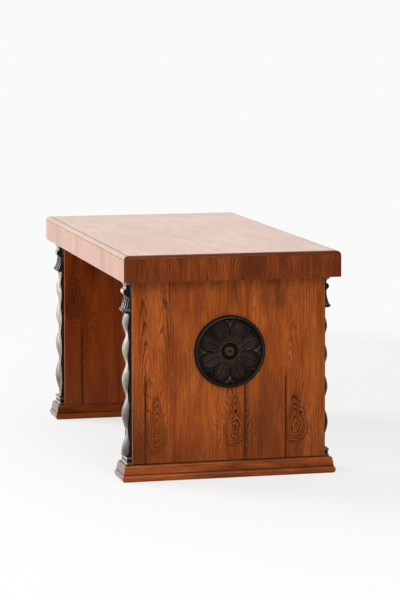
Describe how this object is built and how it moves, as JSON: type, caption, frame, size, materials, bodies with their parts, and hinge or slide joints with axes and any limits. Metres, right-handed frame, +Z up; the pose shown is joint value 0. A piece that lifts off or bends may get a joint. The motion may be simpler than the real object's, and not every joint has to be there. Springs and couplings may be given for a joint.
{
  "type": "library table",
  "caption": "Rectangular library table with a deep veneered top on panelled slab ends, carved twist columns and capitals on their edges, round rosettes and moulded plinths.",
  "frame": {"origin": "on the floor, at the middle of the table's length and depth", "axes": "+X along the length of the top, towards one slab end; +Y from the front long side to the back; +Z up. The table looks the same after half a turn about Z."},
  "size_m": [1.42, 0.735, 0.75],
  "materials": {
    "rosewood_panel": "figured rosewood veneer, french polished",
    "rosewood_top": "rosewood veneer, french polished, faded by light",
    "rosewood_crossband": "rosewood veneer laid across the rail, french polished",
    "rosewood_moulding": "solid rosewood moulding, french polished",
    "ebonised_carving": "carved and ebonised, semi-gloss, worn on its edges",
    "frame_wood": "plain softwood, unpolished",
    "dowel": "plain beech"
  },
  "bodies": {
    "root": {"top_board": "rosewood_top", "front_moulding": "rosewood_moulding", "back_moulding": "rosewood_moulding", "right_moulding": "rosewood_moulding", "left_moulding": "rosewood_moulding", "front_edge_rail": "rosewood_crossband", "back_edge_rail": "rosewood_crossband", "right_edge_rail": "rosewood_crossband", "left_edge_rail": "rosewood_crossband", "soffit": "frame_wood", "right_bearer": "frame_wood", "middle_bearer": "frame_wood", "left_bearer": "frame_wood", "corner_blocks": "frame_wood", "right_outer_panel": "rosewood_panel", "right_inner_panel": "rosewood_panel", "right_front_stile": "frame_wood", "right_back_stile": "frame_wood", "right_top_rail": "frame_wood", "right_middle_rail": "frame_wood", "right_bottom_rail": "frame_wood", "left_outer_panel": "rosewood_panel", "left_inner_panel": "rosewood_panel", "left_front_stile": "frame_wood", "left_back_stile": "frame_wood", "left_top_rail": "frame_wood", "left_middle_rail": "frame_wood", "left_bottom_rail": "frame_wood", "right_plinth_core": "frame_wood", "right_plinth_outer": "rosewood_moulding", "right_plinth_inner": "rosewood_moulding", "right_plinth_front": "rosewood_moulding", "right_plinth_back": "rosewood_moulding", "left_plinth_core": "frame_wood", "left_plinth_outer": "rosewood_moulding", "left_plinth_inner": "rosewood_moulding", "left_plinth_front": "rosewood_moulding", "left_plinth_back": "rosewood_moulding", "right_front_strip": "ebonised_carving", "right_front_twist": "ebonised_carving", "right_front_capital": "ebonised_carving", "right_front_foot": "ebonised_carving", "right_back_strip": "ebonised_carving", "right_back_twist": "ebonised_carving", "right_back_capital": "ebonised_carving", "right_back_foot": "ebonised_carving", "left_front_strip": "ebonised_carving", "left_front_twist": "ebonised_carving", "left_front_capital": "ebonised_carving", "left_front_foot": "ebonised_carving", "left_back_strip": "ebonised_carving", "left_back_twist": "ebonised_carving", "left_back_capital": "ebonised_carving", "left_back_foot": "ebonised_carving", "right_rosette": "ebonised_carving", "left_rosette": "ebonised_carving", "dowels": "dowel"}
  },
  "joints": []
}
